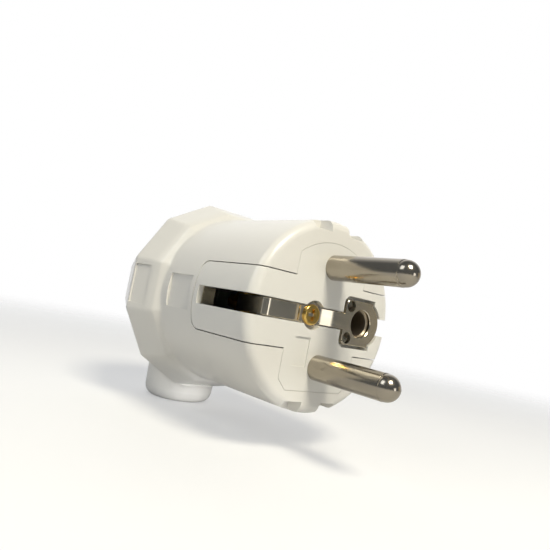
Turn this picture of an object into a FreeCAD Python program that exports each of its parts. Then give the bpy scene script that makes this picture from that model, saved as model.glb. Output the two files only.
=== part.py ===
import FreeCAD, Part
import os
import Sketcher
from FreeCAD import Placement, Rotation, Vector

# Angled rewirable mains plug with side earth contacts and an earth-pin socket.
# X runs out along the pins, Z along the line of the two pins and Y across the
# face. The origin is the middle of the engagement face; the cable leaves at -Z.
doc = FreeCAD.newDocument("earthed_plug")
sheet = doc.addObject("Spreadsheet::Sheet", "dims")

SIZES = {
    "pin_dia": (4.8, "diameter of a contact pin"),
    "pin_reach": (19.0, "pin length in front of the engagement face"),
    "pin_pitch": (19.0, "distance between the two pin axes"),
    "tip_round": (2.35, "rounding of a pin tip"),
    "neck_dia": (4.4, "diameter of a pin inside the insert"),
    "earth_offset": (10.0, "earth socket axis from the line of the pins"),
    "earth_bore": (4.9, "bore of the earth socket"),
    "front_rad": (18.3, "barrel radius at the rim"),
    "rim_round": (1.8, "rounding of the rim"),
    "rear_rad": (18.5, "barrel radius where it meets the grip"),
    "step_at": (29.2, "face to the front foot of the grip"),
    "step_sink": (0.7, "corner radius of the foot below the barrel"),
    "hollow_run": (1.3, "foot to the hollow in front of the grip"),
    "hollow_rise": (0.4, "corner radius of the hollow above the barrel"),
    "step_run": (1.2, "hollow to the top of the step"),
    "step_rise": (1.6, "corner radius of the step above the barrel"),
    "shoulder_run": (1.6, "top of the step to the shoulder"),
    "shoulder_rise": (2.25, "corner radius of the shoulder above the barrel"),
    "ridge_at": (39.6, "face to the widest ridge of the grip"),
    "ridge_rad": (22.3, "corner radius of the grip at its ridge"),
    "back_at": (56.0, "face to the flat back"),
    "back_rad": (15.4, "corner radius of the flat back"),
    "back_round": (1.6, "rounding of the back edge"),
    "boss_at": (47.1, "face to the cable boss axis"),
    "boss_dia": (16.4, "diameter of the cable boss at its mouth"),
    "boss_draft": (1.5, "draft angle of the cable boss"),
    "boss_reach": (26.0, "pin axis plane to the mouth of the cable boss"),
    "boss_round": (2.2, "rounding of the boss mouth"),
    "inlet_dia": (8.0, "bore for the cord"),
    "wall": (4.7, "back wall of the housing"),
    "band_half": (8.95, "half width of the insert's upright band"),
    "term_play": (0.1, "play between terminals and the insert's end walls"),
    "band_cut": (2.0, "corner cut at the lower end of the band"),
    "tongue_half": (6.55, "half height of the insert's side tongues"),
    "tongue_end": (18.0, "face to the rear end of a tongue"),
    "tongue_round": (1.8, "corner rounding at the rear end of a tongue"),
    "cavity_half": (15.2, "half width of the cavity's side arms"),
    "seam": (0.2, "gap all round between insert and housing"),
    "plate_thick": (3.2, "front plate of the insert"),
    "insert_wall": (1.2, "side walls of the insert"),
    "tongue_wall": (3.0, "outer wall of a tongue"),
    "collar_len": (7.0, "face to the rear of the pin collars"),
    "collar_wall": (1.9, "wall of the collars round pins and socket"),
    "fit": (0.05, "radial play of pins and socket in the insert"),
    "strip_thick": (0.8, "thickness of the earth strip"),
    "strip_width": (3.2, "width of the earth strip"),
    "strip_play": (0.15, "side play of the strip in its channel"),
    "strip_sink": (0.1, "strip top below the face"),
    "eye_drop": (0.8, "how far the strip steps down to the screw"),
    "eye_dia": (5.2, "eye of the strip round the cover screw"),
    "leaf_play": (0.1, "play between the right side contact and the earth socket"),
    "drop_at": (7.0, "pin plane to the step down of the strip"),
    "drop_run": (0.6, "run of the step down"),
    "rise_at": (0.7, "pin plane to the foot of the rise to the plate"),
    "rise_run": (2.9, "run of the rise to the plate"),
    "leaf_len": (14.0, "face to the tip of a side contact"),
    "left_lean": (4.0, "how far the left side contact leans inwards"),
    "right_lean": (0.3, "how far the right side contact leans inwards"),
    "slot_end": (16.6, "face to the end of the side slot"),
    "plate_near": (5.25, "near edge of the earth plate"),
    "plate_far": (12.85, "far edge of the earth plate"),
    "plate_half": (4.45, "half height of the earth plate"),
    "lobe_rad": (4.2, "radius of the plate's bulge beside the socket"),
    "lobe_shift": (1.0, "socket axis to the middle of the bulge"),
    "plate_gap": (0.45, "gap round the earth plate"),
    "plate_round": (1.05, "rounding of the plate's near corners"),
    "fold_round": (0.6, "outer rounding of the strip's two folds"),
    "lug_hole_dia": (2.0, "relief holes in the earth plate"),
    "lug_in": (1.35, "relief hole from the near and outer edges"),
    "socket_wall": (0.85, "wall of the earth socket tube"),
    "socket_lip": (0.2, "shoulder of the earth socket behind its collar"),
    "socket_depth": (17.0, "depth of the earth socket bore"),
    "term_dia": (6.4, "diameter of a terminal"),
    "term_end": (27.0, "face to the rear end of the terminals"),
    "term_screw_at": (23.2, "face to the terminal screws"),
    "wire_dia": (3.0, "wire hole of a terminal"),
    "wire_depth": (8.0, "depth of a wire hole"),
    "screw_dia": (3.0, "thread diameter of all screws"),
    "screw_play": (0.1, "radial play round a screw"),
    "term_head_dia": (4.8, "head of a terminal screw"),
    "term_head": (1.6, "head height of a terminal screw"),
    "term_screw_len": (3.4, "shank of a terminal screw"),
    "cover_at": (3.1, "pin plane to the cover screw"),
    "cover_head_dia": (4.0, "head of the cover screw"),
    "cover_head": (0.75, "head height of the cover screw"),
    "cover_past": (4.0, "cover screw beyond the nut seat"),
    "post_at": (20.0, "face to the meeting of the two screw posts"),
    "post_dia": (9.0, "screw post in the housing"),
    "insert_post_dia": (6.6, "screw post in the insert"),
    "nut_flats": (5.5, "across flats of the captive nut"),
    "nut_thick": (2.4, "thickness of the captive nut"),
    "nut_play": (0.1, "play of the nut in its seat"),
    "cord_dia": (6.6, "cord that the clamp is made for"),
    "clamp_z": (9.6, "pin plane centre down to the clamp"),
    "clamp_pitch": (12.0, "distance between the clamp screws"),
    "clamp_post_dia": (5.0, "clamp posts"),
    "clamp_width": (5.0, "width of the clamp bar"),
    "clamp_thick": (2.4, "thickness of the clamp bar"),
    "clamp_rib": (0.7, "rib that bites the cord"),
    "clamp_rib_len": (5.4, "length of that rib"),
    "clamp_screw_len": (7.0, "shank of a clamp screw"),
    "clamp_head_dia": (4.8, "head of a clamp screw"),
    "clamp_head": (1.7, "head height of a clamp screw"),
    "guide_near": (2.3, "pin line to the near side of a guide notch"),
    "guide_far": (6.4, "pin line to the far side of a guide notch"),
    "guide_depth": (1.6, "depth of a guide notch below the rim"),
    "guide_len": (3.6, "length of a guide notch"),
    "panel_depth": (0.3, "depth of the bare moulded panels"),
    "side_panel_at": (19.6, "face to the side panel"),
    "side_panel_len": (8.6, "length of the side panel"),
    "side_panel_half": (3.4, "half height of the side panel"),
    "face_panel_y": (4.7, "pin line to the centre of the face panel"),
    "face_panel_z": (6.9, "pin plane centre down to the face panel centre"),
    "face_panel_half": (1.75, "half width of the face panel"),
    "face_panel_tall": (2.7, "half height of the face panel"),
}
for row, (alias, (value, note)) in enumerate(SIZES.items(), 1):
    sheet.set("A%d" % row, note)
    sheet.set("B%d" % row, str(value))
    sheet.setAlias("B%d" % row, alias)
doc.recompute()


def number(expression):
    """Value of a bound expression, for the first drawing of a sketch."""
    result = sheet.evalExpression(expression)
    return float(getattr(result, "Value", result))


def bind(item, **sizes):
    """Tie properties to sheet expressions; a double underscore stands for a dot."""
    for path, expression in sizes.items():
        item.setExpression(path.replace("__", "."), expression)
    return item


def sketch(body, name, role, loops=(), rings=(), offset="0"):
    """Closed outlines (corner lists) and rings (u, v, radius), all held by bound lengths.
    A corner with a third entry starts an arc of that radius about the middle."""
    drawn = body.newObject("Sketcher::SketchObject", name)
    planes = [f for f in body.Origin.OriginFeatures if f.Role == role]
    drawn.AttachmentSupport = [(planes[0], "")]
    drawn.MapMode = "FlatFace"
    drawn.setExpression("AttachmentOffset.Base.z", offset)

    def hold(kind, geometry, point, expression):
        limit = Sketcher.Constraint(kind, -1, 1, geometry, point, number(expression))
        drawn.setExpression("Constraints[%d]" % drawn.addConstraint(limit), expression)

    for loop in loops:
        first = drawn.GeometryCount
        corners = [Vector(number(corner[0]), number(corner[1]), 0) for corner in loop]
        count = len(corners)
        for corner, start, end in zip(loop, corners, corners[1:] + corners[:1]):
            edge = Part.LineSegment(start, end)
            if len(corner) == 3:
                circle = Part.Circle(Vector(), Vector(0, 0, 1), number(corner[2]))
                edge = Part.ArcOfCircle(circle, circle.parameter(start), circle.parameter(end))
            drawn.addGeometry(edge, False)
        for i, corner in enumerate(loop):
            joined = Sketcher.Constraint("Coincident", first + i, 2, first + (i + 1) % count, 1)
            drawn.addConstraint(joined)
            hold("DistanceX", first + i, 1, corner[0])
            hold("DistanceY", first + i, 1, corner[1])
            if len(corner) == 3:
                bend = drawn.addConstraint(Sketcher.Constraint("Radius", first + i, number(corner[2])))
                drawn.setExpression("Constraints[%d]" % bend, corner[2])
    for u, v, radius in rings:
        centre = Vector(number(u), number(v), 0)
        ring = drawn.addGeometry(Part.Circle(centre, Vector(0, 0, 1), number(radius)), False)
        size = drawn.addConstraint(Sketcher.Constraint("Radius", ring, number(radius)))
        drawn.setExpression("Constraints[%d]" % size, radius)
        hold("DistanceX", ring, 3, u)
        hold("DistanceY", ring, 3, v)
    return drawn


def feature(body, kind, name, profile, backwards=False, both=False, **sizes):
    """Pad, pocket or revolution of a sketch, checked to change the body's volume."""
    before = body.Shape.Volume if body.Tip else 0.0
    made = body.newObject("PartDesign::" + kind, name)
    made.Profile = profile
    if kind == "Revolution":
        made.ReferenceAxis = (profile, ["H_Axis"])
        made.Angle = 360
    else:
        made.Reversed = backwards
    if both:
        made.Type = "ThroughAll"
        made.Midplane = True
    bind(made, **sizes)
    doc.recompute()
    if abs(body.Shape.Volume - before) < 1e-6:
        raise RuntimeError(name + " changes nothing")
    return made


def rounded(body, name, radius, chosen):
    """Fillet of the edges that the test picks."""
    base = body.Tip
    edges = ["Edge%d" % i for i, e in enumerate(base.Shape.Edges, 1) if chosen(e)]
    made = body.newObject("PartDesign::Fillet", name)
    made.Base = (base, edges)
    bind(made, Radius=radius)
    doc.recompute()
    return made


def ring_edge(x, radius):
    """Test for a full or part circle about the X axis at a station and radius."""
    def test(edge):
        if not isinstance(edge.Curve, Part.Circle):
            return False
        near = abs(edge.Curve.Center.x - x) < 1e-4 and abs(edge.Curve.Radius - radius) < 1e-4
        return near and abs(edge.Curve.Axis.x) > 0.99
    return test


def across_edge(x, z):
    """Test for a straight edge along Y at a station and height on either side."""
    def test(edge):
        a, b = edge.Vertexes[0].Point, edge.Vertexes[-1].Point
        level = max(abs(a.x - x), abs(b.x - x), abs(abs(a.z) - z), abs(abs(b.z) - z)) < 1e-4
        return level and abs(a.y - b.y) > 1e-3
    return test


def outward_edge(y, z):
    """Test for a straight edge along X at a place across the face and a height on either side."""
    def test(edge):
        a, b = edge.Vertexes[0].Point, edge.Vertexes[-1].Point
        level = max(abs(a.y - y), abs(b.y - y), abs(abs(a.z) - z), abs(abs(b.z) - z)) < 1e-4
        return level and abs(a.x - b.x) > 1e-3
    return test


def upright_edge(x, y):
    """Test for a straight edge along Z at a station and a place on either side."""
    def test(edge):
        a, b = edge.Vertexes[0].Point, edge.Vertexes[-1].Point
        level = max(abs(a.x - x), abs(b.x - x), abs(abs(a.y) - y), abs(abs(b.y) - y)) < 1e-4
        return level and abs(a.z - b.z) > 1e-3
    return test


def cross(half, end, cut, arm, reach):
    """Corner list of an upright band with an arched top, cut lower corners and two side arms."""
    crown = "sqrt((%s) ^ 2 - (%s) ^ 2)" % (end, half)
    right = [(reach, arm), (half, arm)]
    arch = [(half, crown, end), ("-(%s)" % half, crown)]
    left = [("-(%s)" % u, v) for u, v in reversed(right)]
    left += [("-(%s)" % u, "-(%s)" % v) for u, v in right]
    foot = [(half, "-(%s - %s)" % (end, cut)), ("%s - %s" % (half, cut), "-(%s)" % end)]
    low_left = [("-(%s)" % u, v) for u, v in foot]
    low_right = foot[::-1] + [(u, "-(%s)" % v) for u, v in reversed(right)]
    return right + arch + left + low_left + low_right


def dodecagon(radius):
    """Corner list of the twelve-sided grip, flat to the left, right, top and bottom."""
    turns = [15 + 30 * k for k in range(12)]
    return [("%s * cos(%d)" % (radius, a), "%s * sin(%d)" % (radius, a)) for a in turns]


def barrel_profile(end):
    """Half section of the barrel: flat face and drafted side back to a station."""
    draft = "(dims.rear_rad - dims.front_rad) / dims.step_at"
    return [
        ("0", "0"),
        ("0", "dims.front_rad"),
        ("-(%s)" % end, "dims.front_rad + (%s) * %s" % (end, draft)),
        ("-(%s)" % end, "0"),
    ]


band_end = "dims.pin_pitch / 2 + dims.term_dia / 2 + dims.term_play + dims.insert_wall"


def box_loop(u0, u1, v0, v1):
    """Corner list of a rectangle."""
    return [(u0, v0), (u1, v0), (u1, v1), (u0, v1)]


def body_named(name):
    """New body whose label is its node name."""
    made = doc.addObject("PartDesign::Body", name)
    made.Label = name
    return made


# Housing: one white moulding. A drafted barrel with a twelve-sided grip behind
# it, a cable boss below, and a cross-shaped cavity that is open to the front.
housing = body_named("housing")
step_top = "dims.step_at + dims.hollow_run + dims.step_run"
barrel = sketch(housing, "barrel_section", "XY_Plane", [barrel_profile(step_top)])
feature(housing, "Revolution", "barrel", barrel)


def grip_section(name, at, radius):
    """Twelve-sided outline of the grip at a station behind the face."""
    return sketch(housing, name, "YZ_Plane", [dodecagon("(%s)" % radius)], offset="-(%s)" % at)


grip = housing.newObject("PartDesign::AdditiveLoft", "grip")
grip.Profile = grip_section("foot_outline", "dims.step_at", "dims.rear_rad - dims.step_sink")
grip.Sections = [
    grip_section("hollow_outline", "dims.step_at + dims.hollow_run", "dims.rear_rad + dims.hollow_rise"),
    grip_section("step_outline", step_top, "dims.rear_rad + dims.step_rise"),
    grip_section("shoulder_outline", step_top + " + dims.shoulder_run",
                 "dims.rear_rad + dims.shoulder_rise"),
    grip_section("ridge_outline", "dims.ridge_at", "dims.ridge_rad"),
    grip_section("back_outline", "dims.back_at", "dims.back_rad"),
]
grip.Ruled = True
doc.recompute()


def back_edge(edge):
    """Test for an edge of the flat back."""
    box = edge.BoundBox
    return max(abs(box.XMin + number("dims.back_at")), abs(box.XMax + number("dims.back_at"))) < 1e-4


rounded(housing, "back_rounding", "dims.back_round", back_edge)
rim_edge = ring_edge(0, number("dims.front_rad"))
rounded(housing, "rim_rounding", "dims.rim_round", rim_edge)
boss_ring = [("-dims.boss_at", "0", "dims.boss_dia / 2")]
boss = sketch(housing, "boss_section", "XY_Plane", rings=boss_ring, offset="-dims.boss_reach")
feature(housing, "Pad", "boss", boss, Length="dims.boss_reach - dims.tongue_half",
        TaperAngle="dims.boss_draft")


def mouth_edge(edge):
    """Test for the outer circle of the boss mouth."""
    on_mouth = abs(edge.BoundBox.ZMax + number("dims.boss_reach")) < 1e-4
    return on_mouth and abs(edge.BoundBox.ZMin - edge.BoundBox.ZMax) < 1e-4


rounded(housing, "boss_rounding", "dims.boss_round", mouth_edge)
cavity_plan = cross("dims.band_half + dims.seam", band_end + " + dims.seam", "dims.band_cut",
                    "dims.tongue_half + dims.seam", "dims.cavity_half")
cavity = sketch(housing, "cavity_section", "YZ_Plane", [cavity_plan])
feature(housing, "Pocket", "cavity", cavity, Length="dims.back_at - dims.wall")
window_plan = box_loop("-dims.tongue_end - dims.seam", "dims.seam",
                       "-dims.tongue_half - dims.seam", "dims.tongue_half + dims.seam")
window = sketch(housing, "window_section", "XZ_Plane", [window_plan])
feature(housing, "Pocket", "windows", window, both=True)
window_corner = across_edge(-number("dims.tongue_end + dims.seam"),
                            number("dims.tongue_half + dims.seam"))
rounded(housing, "window_rounding", "dims.tongue_round", window_corner)
inlet_ring = [("-dims.boss_at", "0", "dims.inlet_dia / 2")]
inlet = sketch(housing, "inlet_section", "XY_Plane", rings=inlet_ring, offset="-dims.boss_reach")
feature(housing, "Pocket", "inlet", inlet, backwards=True,
        Length="dims.boss_reach - dims.tongue_half")
post_plan = sketch(housing, "post_section", "YZ_Plane", offset="-dims.post_at",
                   rings=[("-dims.cover_at", "0", "dims.post_dia / 2")])
feature(housing, "Pad", "screw_post", post_plan, backwards=True,
        Length="dims.back_at - dims.wall - dims.post_at")
nut_plan = [
    ("-dims.cover_at + (dims.nut_flats / 2 + dims.nut_play) / cos(30) * cos(%d)" % a,
     "(dims.nut_flats / 2 + dims.nut_play) / cos(30) * sin(%d)" % a)
    for a in range(0, 360, 60)
]
nut_seat = sketch(housing, "nut_seat_section", "YZ_Plane", [nut_plan], offset="-dims.post_at")
feature(housing, "Pocket", "nut_seat", nut_seat, Length="dims.nut_thick")
post_bore = sketch(housing, "post_bore_section", "YZ_Plane", offset="-dims.post_at",
                   rings=[("-dims.cover_at", "0", "dims.screw_dia / 2 + dims.screw_play")])
feature(housing, "Pocket", "post_bore", post_bore,
        Length="dims.nut_thick + 2 * dims.cover_past")
clamp_seat = "dims.back_at - dims.wall - dims.cord_dia"
clamp_sides = ["dims.clamp_pitch / 2", "-dims.clamp_pitch / 2"]
clamp_rings = [(side, "-dims.clamp_z", "dims.clamp_post_dia / 2") for side in clamp_sides]
clamp_posts = sketch(housing, "clamp_post_section", "YZ_Plane", rings=clamp_rings,
                     offset="-(%s)" % clamp_seat)
feature(housing, "Pad", "clamp_posts", clamp_posts, backwards=True, Length="dims.cord_dia")
pilot_rings = [(side, "-dims.clamp_z", "dims.screw_dia / 2") for side in clamp_sides]
pilots = sketch(housing, "clamp_pilot_section", "YZ_Plane", rings=pilot_rings,
                offset="-(%s)" % clamp_seat)
feature(housing, "Pocket", "clamp_pilots", pilots,
        Length="dims.clamp_screw_len - dims.clamp_thick + dims.screw_play")
guide_loops = [
    box_loop("%s * dims.guide_near" % across, "%s * dims.guide_far" % across,
             "%s * (dims.front_rad - dims.guide_depth)" % up, "%s * dims.rear_rad" % up)
    for across in (1, -1) for up in (1, -1)
]
guides = sketch(housing, "guide_section", "YZ_Plane", guide_loops)
feature(housing, "Pocket", "guide_notches", guides, Length="dims.guide_len")
panel_plan = box_loop("-dims.side_panel_at - dims.side_panel_len", "-dims.side_panel_at",
                      "-dims.side_panel_half", "dims.side_panel_half")
side_panel = sketch(housing, "side_panel_section", "XZ_Plane", [panel_plan],
                    offset="dims.rear_rad - 2 * dims.panel_depth")
feature(housing, "Pocket", "side_panel", side_panel, backwards=True, Length="dims.rear_rad")

# Insert: the white cross that carries all contacts. Its two tongues fill the
# side windows flush with the barrel, and it is hollow behind its front plate.
insert = body_named("pin_carrier")
disc = sketch(insert, "disc_section", "XZ_Plane", [barrel_profile("dims.tongue_end")])
feature(insert, "Revolution", "disc", disc)
rounded(insert, "rim_rounding_insert", "dims.rim_round", rim_edge)
reach = "dims.rear_rad + dims.wall"
cross_plan = cross("dims.band_half", band_end, "dims.band_cut", "dims.tongue_half", reach)
trim_loop = box_loop("-2 * (%s)" % reach, "2 * (%s)" % reach, "-2 * (%s)" % reach, "2 * (%s)" % reach)
trim = sketch(insert, "trim_section", "YZ_Plane", [trim_loop, cross_plan])
feature(insert, "Pocket", "trim", trim, Length="dims.tongue_end")
tongue_corner = across_edge(-number("dims.tongue_end"), number("dims.tongue_half"))
rounded(insert, "tongue_rounding", "dims.tongue_round", tongue_corner)
hollow_plan = cross("dims.band_half - dims.insert_wall", band_end + " - dims.insert_wall",
                    "dims.band_cut", "dims.tongue_half - dims.insert_wall",
                    "dims.front_rad - dims.tongue_wall")
hollow = sketch(insert, "hollow_section", "YZ_Plane", [hollow_plan], offset="-dims.tongue_end")
feature(insert, "Pocket", "hollow", hollow, backwards=True,
        Length="dims.tongue_end - dims.plate_thick")
pin_sides = ["dims.pin_pitch / 2", "-dims.pin_pitch / 2"]
socket_rad = "dims.earth_bore / 2 + dims.socket_wall"
collar_rings = [("0", z, "dims.pin_dia / 2 + dims.collar_wall") for z in pin_sides]
collars = sketch(insert, "collar_section", "YZ_Plane", offset="-dims.plate_thick", rings=collar_rings)
feature(insert, "Pad", "pin_collars", collars, backwards=True,
        Length="dims.collar_len - dims.plate_thick")
socket_collar = sketch(insert, "socket_collar_section", "YZ_Plane", offset="-dims.plate_thick",
                       rings=[("dims.earth_offset", "0", socket_rad + " + dims.insert_wall")])
feature(insert, "Pad", "socket_collar", socket_collar, backwards=True,
        Length="dims.collar_len - dims.plate_thick")
insert_post = sketch(insert, "insert_post_section", "YZ_Plane", offset="-dims.plate_thick",
                     rings=[("-dims.cover_at", "0", "dims.insert_post_dia / 2")])
feature(insert, "Pad", "insert_post", insert_post, backwards=True,
        Length="dims.post_at - dims.plate_thick")
bores = sketch(insert, "bore_section", "YZ_Plane", rings=[
    ("0", pin_sides[0], "dims.neck_dia / 2 + dims.fit"),
    ("0", pin_sides[1], "dims.neck_dia / 2 + dims.fit"),
    ("dims.earth_offset", "0", socket_rad + " + dims.fit"),
    ("-dims.cover_at", "0", "dims.screw_dia / 2 + dims.screw_play"),
])
feature(insert, "Pocket", "bores", bores, Length="dims.post_at")
slot_half = "dims.strip_width / 2 + dims.strip_play"
strip_floor = "dims.strip_sink + dims.strip_thick"
lip_rad = socket_rad + " + dims.socket_lip"
fold = "(dims.earth_offset + %s + dims.leaf_play + dims.strip_thick + dims.right_lean)" % lip_rad
channel_plan = box_loop("-" + fold, "dims.plate_near", "-(%s)" % slot_half, slot_half)
channel = sketch(insert, "channel_section", "YZ_Plane", [channel_plan])
feature(insert, "Pocket", "strip_channel", channel, Length=strip_floor)
eye_plan = box_loop("-dims.drop_at - dims.strip_play", "dims.rise_run", "-(%s)" % slot_half, slot_half)
eye_channel = sketch(insert, "eye_channel_section", "YZ_Plane", [eye_plan])
feature(insert, "Pocket", "eye_channel", eye_channel, Length=strip_floor + " + dims.eye_drop")
eye_ring = [("-dims.cover_at", "0", "dims.eye_dia / 2 + dims.strip_play")]
eye_pocket = sketch(insert, "eye_pocket_section", "YZ_Plane", rings=eye_ring)
feature(insert, "Pocket", "eye_pocket", eye_pocket, Length=strip_floor + " + dims.eye_drop")
plate_plan = box_loop("dims.plate_near - dims.plate_gap", "dims.plate_far + dims.plate_gap",
                      "-dims.plate_half - dims.plate_gap", "dims.plate_half + dims.plate_gap")
plate_pocket = sketch(insert, "plate_pocket_section", "YZ_Plane", [plate_plan])
feature(insert, "Pocket", "plate_pocket", plate_pocket, Length=strip_floor)
pocket_corner = outward_edge(number("dims.plate_near - dims.plate_gap"),
                             number("dims.plate_half + dims.plate_gap"))
rounded(insert, "pocket_rounding", "dims.plate_round + dims.plate_gap", pocket_corner)
lobe_y = "dims.earth_offset + dims.lobe_shift"
lobe_ring = [(lobe_y, "0", "dims.lobe_rad + dims.plate_gap")]
lobe_pocket = sketch(insert, "lobe_pocket_section", "YZ_Plane", rings=lobe_ring)
feature(insert, "Pocket", "lobe_pocket", lobe_pocket, Length=strip_floor)
tips = {"-": fold + " - dims.left_lean", "": fold + " - dims.right_lean"}
slot_loops = [
    box_loop("%s(%s - dims.strip_thick - dims.leaf_play)" % (sign, tip), "%s(%s)" % (sign, reach),
             "-(%s)" % slot_half, slot_half)
    for sign, tip in tips.items()
]
slots = sketch(insert, "slot_section", "YZ_Plane", slot_loops)
feature(insert, "Pocket", "side_slots", slots, Length="dims.slot_end")
face_panel_loop = box_loop("-dims.face_panel_y - dims.face_panel_half",
                           "-dims.face_panel_y + dims.face_panel_half",
                           "-dims.face_panel_z - dims.face_panel_tall",
                           "-dims.face_panel_z + dims.face_panel_tall")
face_panel = sketch(insert, "face_panel_section", "YZ_Plane", [face_panel_loop])
feature(insert, "Pocket", "face_panel", face_panel, Length="dims.panel_depth")

# Contact pins: turned brass bars, nickel plated. A neck between two shoulders
# holds a pin in the insert and its rear end is the wire terminal.
pin_profile = [
    ("dims.pin_reach", "0"),
    ("dims.pin_reach", "dims.pin_dia / 2"),
    ("0", "dims.pin_dia / 2"),
    ("0", "dims.neck_dia / 2"),
    ("-dims.collar_len", "dims.neck_dia / 2"),
    ("-dims.collar_len", "dims.term_dia / 2"),
    ("-dims.term_end", "dims.term_dia / 2"),
    ("-dims.term_end", "dims.wire_dia / 2"),
    ("-dims.term_end + dims.wire_depth", "dims.wire_dia / 2"),
    ("-dims.term_end + dims.wire_depth", "0"),
]


def screw_hole(body, name):
    """Side hole of a terminal, drawn on the XZ plane and cut to the -Y side."""
    ring = [("-dims.term_screw_at", "0", "dims.screw_dia / 2")]
    drawn = sketch(body, name + "_section", "XZ_Plane", rings=ring)
    feature(body, "Pocket", name, drawn, backwards=True, Length="dims.term_dia")


for pin_name, height in (("line_pin", pin_sides[0]), ("neutral_pin", pin_sides[1])):
    pin = body_named(pin_name)
    half = sketch(pin, pin_name + "_section", "XY_Plane", [pin_profile])
    feature(pin, "Revolution", pin_name + "_turning", half)
    tip_edge = ring_edge(number("dims.pin_reach"), number("dims.pin_dia / 2"))
    rounded(pin, pin_name + "_tip", "dims.tip_round", tip_edge)
    screw_hole(pin, pin_name + "_screw_hole")
    bind(pin, Placement__Base__z=height)

# Earth socket: a nickel-plated tube for the earth pin of pinned outlets. It
# seats against the back of the earth plate and ends in a wire terminal.
socket = body_named("earth_socket")
socket_front = "-(%s)" % strip_floor
socket_half = sketch(socket, "socket_section", "XY_Plane", [[
    (socket_front, "dims.earth_bore / 2"),
    (socket_front, socket_rad),
    ("-dims.collar_len", socket_rad),
    ("-dims.collar_len", lip_rad),
    ("-dims.term_end", lip_rad),
    ("-dims.term_end", "dims.wire_dia / 2"),
    ("-dims.term_end + dims.wire_depth", "dims.wire_dia / 2"),
    ("-dims.term_end + dims.wire_depth", "0"),
    ("-dims.socket_depth", "0"),
    ("-dims.socket_depth", "dims.earth_bore / 2"),
]])
feature(socket, "Revolution", "socket_turning", socket_half)
screw_hole(socket, "socket_screw_hole")
bind(socket, Placement__Base__y="dims.earth_offset")

# Earth bridge: one folded strip. Side contacts hang in the two side slots, the
# eye lies under the cover screw and the plate rings the earth socket.
bridge = body_named("earth_bridge")
top = "-dims.strip_sink"
low = "-dims.strip_sink - dims.eye_drop"
thick = "dims.strip_thick"
strip_loop = [
    ("-dims.leaf_len", "-(%s)" % tips["-"]),
    (top, "-" + fold),
    (top, "-dims.drop_at"),
    (low, "-dims.drop_at + dims.drop_run"),
    (low, "-dims.rise_at"),
    (top, "-dims.rise_at + dims.rise_run"),
    (top, fold),
    ("-dims.leaf_len", tips[""]),
    ("-dims.leaf_len", "%s - %s" % (tips[""], thick)),
    ("%s - %s" % (top, thick), "%s - %s" % (fold, thick)),
    ("%s - %s" % (top, thick), "-dims.rise_at + dims.rise_run"),
    ("%s - %s" % (low, thick), "-dims.rise_at"),
    ("%s - %s" % (low, thick), "-dims.drop_at + dims.drop_run"),
    ("%s - %s" % (top, thick), "-dims.drop_at"),
    ("%s - %s" % (top, thick), "-%s + %s" % (fold, thick)),
    ("-dims.leaf_len", "-(%s) + %s" % (tips["-"], thick)),
]
strip = sketch(bridge, "strip_section", "XY_Plane", [strip_loop])
folded = feature(bridge, "Pad", "strip", strip, Length="dims.strip_width")
folded.Midplane = True
doc.recompute()
rounded(bridge, "fold_rounding", "dims.fold_round", upright_edge(number(top), number(fold)))
eye_pad = sketch(bridge, "eye_section", "YZ_Plane", offset=low,
                 rings=[("-dims.cover_at", "0", "dims.eye_dia / 2")])
feature(bridge, "Pad", "eye", eye_pad, backwards=True, Length=thick)
plate_loop = box_loop("dims.plate_near", "dims.plate_far", "-dims.plate_half", "dims.plate_half")
plate_drawn = sketch(bridge, "plate_section", "YZ_Plane", [plate_loop], offset=top)
feature(bridge, "Pad", "plate", plate_drawn, backwards=True, Length=thick)
plate_corner = outward_edge(number("dims.plate_near"), number("dims.plate_half"))
rounded(bridge, "plate_rounding", "dims.plate_round", plate_corner)
lobe_drawn = sketch(bridge, "lobe_section", "YZ_Plane", offset=top,
                    rings=[(lobe_y, "0", "dims.lobe_rad")])
feature(bridge, "Pad", "lobe", lobe_drawn, backwards=True, Length=thick)
relief_z = "dims.plate_half - dims.lug_in"
reliefs = [("dims.plate_near + dims.lug_in", z, "dims.lug_hole_dia / 2")
           for z in (relief_z, "-(%s)" % relief_z)]
holes = sketch(bridge, "bridge_hole_section", "YZ_Plane", rings=reliefs + [
    ("dims.earth_offset", "0", "dims.earth_bore / 2"),
    ("-dims.cover_at", "0", "dims.screw_dia / 2 + dims.screw_play"),
])
feature(bridge, "Pocket", "bridge_holes", holes, Length=strip_floor + " + dims.eye_drop")


def turned(name, steps, turn):
    """Coaxial cylinders (start, length, diameter) along a direction, joined as one solid."""
    pieces = []
    for k, (start, length, diameter) in enumerate(steps):
        piece = doc.addObject("Part::Cylinder", "%s_%d" % (name, k))
        bind(piece, Radius="(%s) / 2" % diameter, Height=length)
        piece.Placement = Placement(Vector(), turn)
        spin = turn.multVec(Vector(0, 0, 1))
        for axis in "xyz":
            along = getattr(spin, axis)
            if abs(along) > 0.5:
                piece.setExpression("Placement.Base." + axis, "%d * (%s)" % (round(along), start))
        pieces.append(piece)
    joined = doc.addObject("Part::MultiFuse", name)
    joined.Shapes = pieces
    joined.Refine = True
    return joined


towards_y = Rotation(Vector(0, 0, 1), Vector(0, 1, 0))
towards_x = Rotation(Vector(0, 0, 1), Vector(1, 0, 0))


def group(name, members):
    """Like fasteners of one node, as a group of solids."""
    made = doc.addObject("Part::Compound", name)
    made.Label = name
    made.Links = members
    return made


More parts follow.
